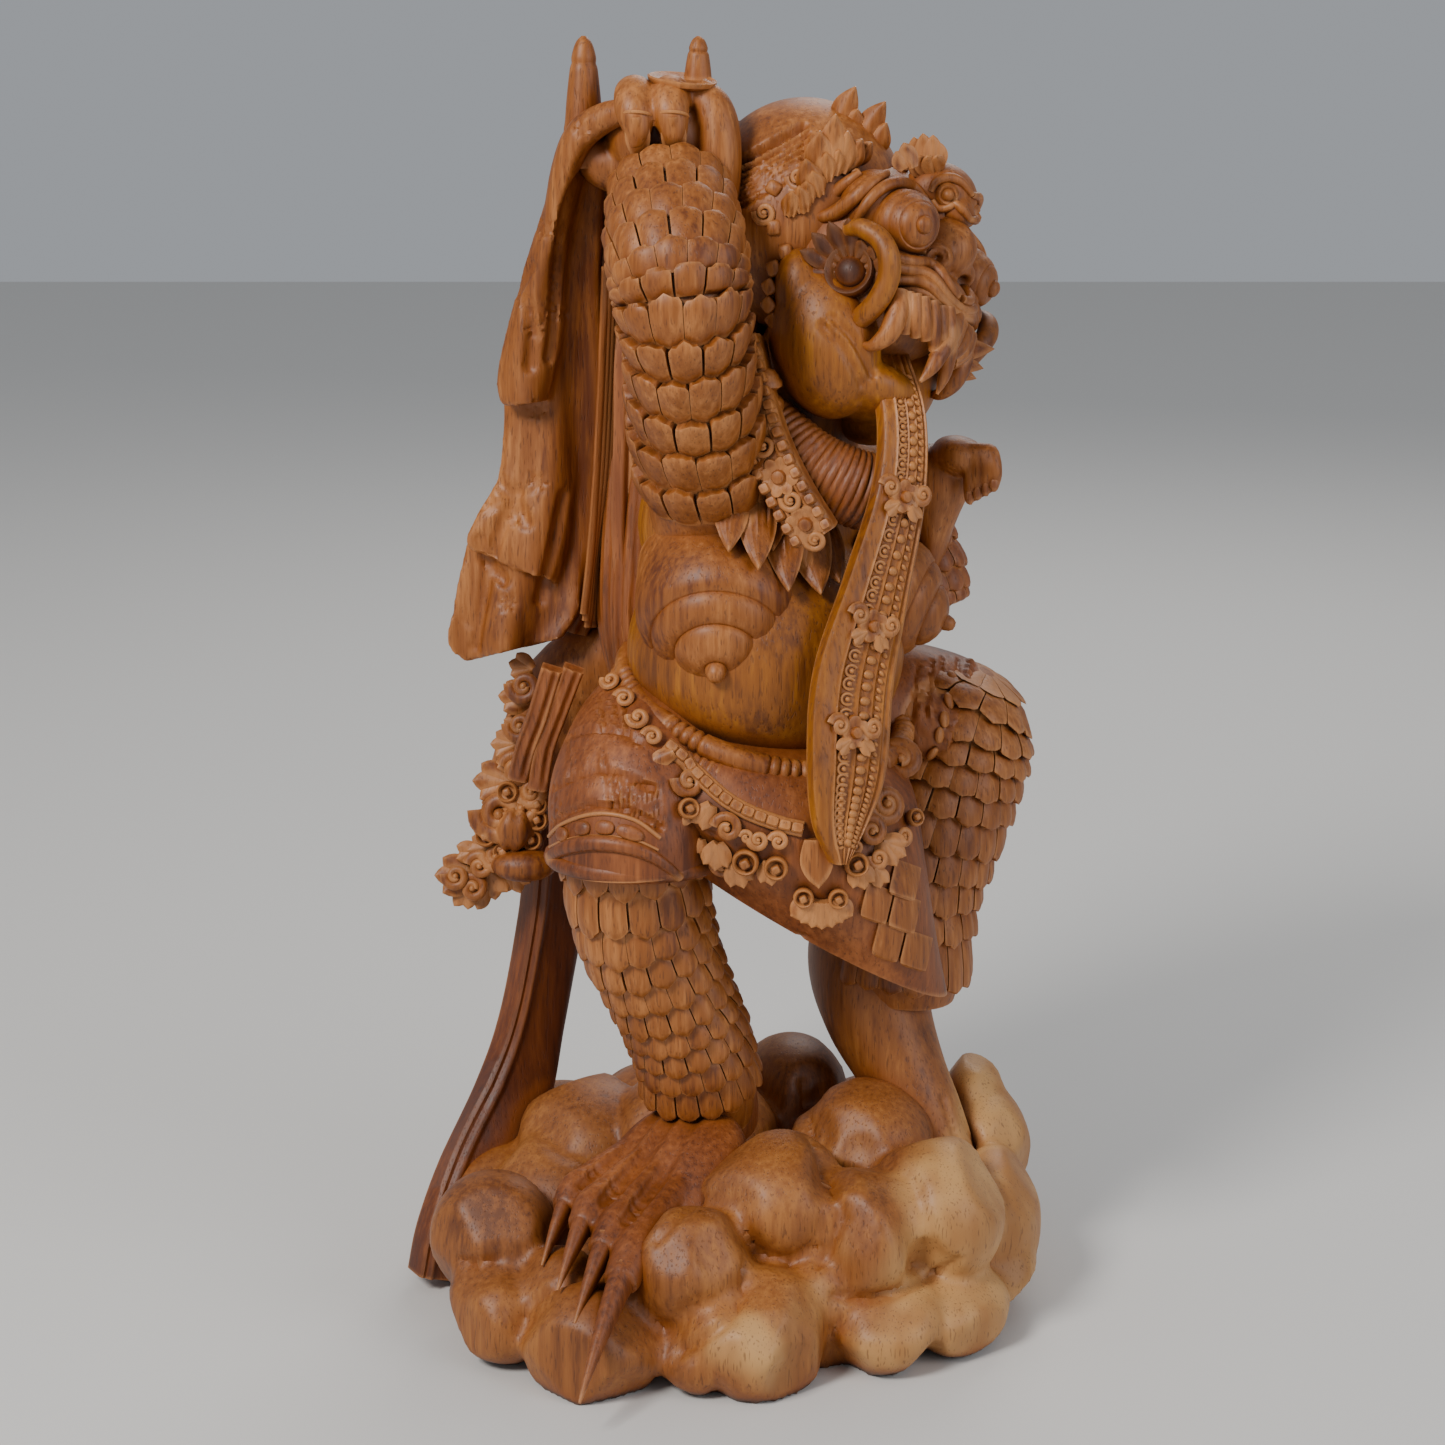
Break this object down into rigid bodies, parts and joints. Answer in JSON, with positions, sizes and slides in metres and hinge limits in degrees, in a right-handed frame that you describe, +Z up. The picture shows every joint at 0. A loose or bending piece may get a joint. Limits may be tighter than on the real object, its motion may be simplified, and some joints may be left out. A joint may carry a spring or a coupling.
{
  "type": "wooden rangda statue",
  "caption": "Carved wooden figure of a dancing masked witch with a long tongue, raised scaled arm, held cloth and bare clawed feet on a base of rounded rocks.",
  "frame": {"origin": "middle of the bounding box on the ground, under the rocks", "axes": "+Z up, +X the way the face and the raised knee look, -Y towards the raised right arm and the viewer of the picture"},
  "size_m": [0.2106, 0.2242, 0.416],
  "materials": {
    "waxed_heartwood": "satin wax over carved golden-brown hardwood, with pale sapwood low on the rocks"
  },
  "bodies": {
    "root": {"rangda_statue": "waxed_heartwood"}
  },
  "joints": []
}
